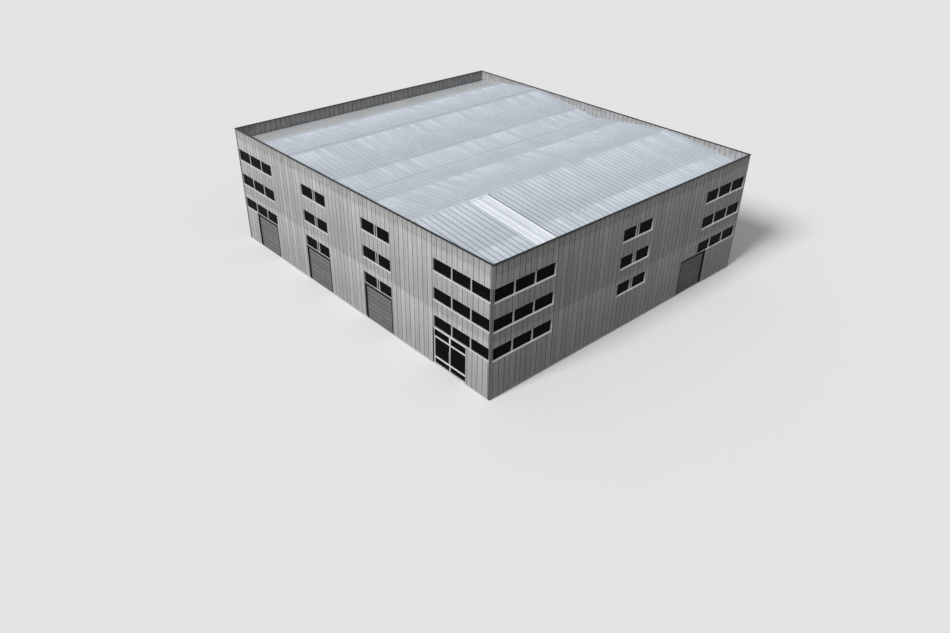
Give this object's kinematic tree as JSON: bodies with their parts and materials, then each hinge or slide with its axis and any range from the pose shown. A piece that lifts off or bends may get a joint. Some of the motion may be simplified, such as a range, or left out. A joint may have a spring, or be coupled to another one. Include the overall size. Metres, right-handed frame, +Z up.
{
  "type": "factory building",
  "caption": "Storeyed factory building clad in ribbed sheet, with panelled doors, a glazed double leaf entrance and a double gable roof behind parapets.",
  "frame": {"origin": "on the ground at the middle of the building's footprint", "axes": "+X towards the right side, +Y from the front with the entrance to the back, +Z up"},
  "size_m": [37.8, 33.7, 12.14],
  "materials": {
    "wall_cladding": "weathered coated sheet",
    "wall_core": "coated panel",
    "corner_steel": "grey coated folded steel",
    "dark_trim": "dark coated steel",
    "white_frame": "white coated aluminium",
    "window_glass": "dark tinted glass",
    "shutter_panel": "grey coated door panels",
    "roof_sheet": "silver coated sheet",
    "parapet_sheet": "weathered coated sheet",
    "gutter_zinc": "zinc coated steel",
    "concrete": "power floated concrete",
    "frame_steel": "primed steel"
  },
  "bodies": {
    "building": {"floor_slab": "concrete", "upper_floors": "concrete", "columns": "frame_steel", "roof_beams": "frame_steel", "corner_posts": "corner_steel", "front_wall_left": "wall_core", "front_wall_over_entrance": "wall_core", "front_wall_right": "wall_core", "right_wall": "wall_core", "back_wall": "wall_core", "left_wall": "wall_core", "front_cladding": "wall_cladding", "right_cladding": "wall_cladding", "back_cladding": "wall_cladding", "left_cladding": "wall_cladding", "parapet_lining": "parapet_sheet", "parapet_cap": "dark_trim", "front_window_frames": "white_frame", "right_window_frames": "white_frame", "back_window_frames": "white_frame", "left_window_frames": "white_frame", "front_window_glass": "window_glass", "right_window_glass": "window_glass", "back_window_glass": "window_glass", "left_window_glass": "window_glass", "window_linings": "white_frame", "front_shutter_1": "shutter_panel", "front_shutter_2": "shutter_panel", "front_shutter_3": "shutter_panel", "right_shutter": "shutter_panel", "shutter_surrounds": "dark_trim", "entrance_surround": "dark_trim", "entrance_frame": "white_frame", "entrance_top_glass": "window_glass", "roof_slope_1": "roof_sheet", "roof_slope_2": "roof_sheet", "roof_slope_3": "roof_sheet", "roof_slope_4": "roof_sheet", "ridge_caps": "roof_sheet", "roof_gutters": "gutter_zinc"},
    "leaf_left": {"entrance_leaf_left": "white_frame", "leaf_glass_left": "window_glass"},
    "leaf_right": {"entrance_leaf_right": "white_frame", "leaf_glass_right": "window_glass"}
  },
  "joints": [
    {"name": "entrance_left_hinge", "type": "hinge", "parent": "building", "child": "leaf_left", "pos_m": [12.088, -16.665, 1.4], "axis": [0, 0, -1], "range_deg": [0, 90]},
    {"name": "entrance_right_hinge", "type": "hinge", "parent": "building", "child": "leaf_right", "pos_m": [15.882, -16.665, 1.4], "axis": [0, 0, 1], "range_deg": [0, 90]}
  ]
}
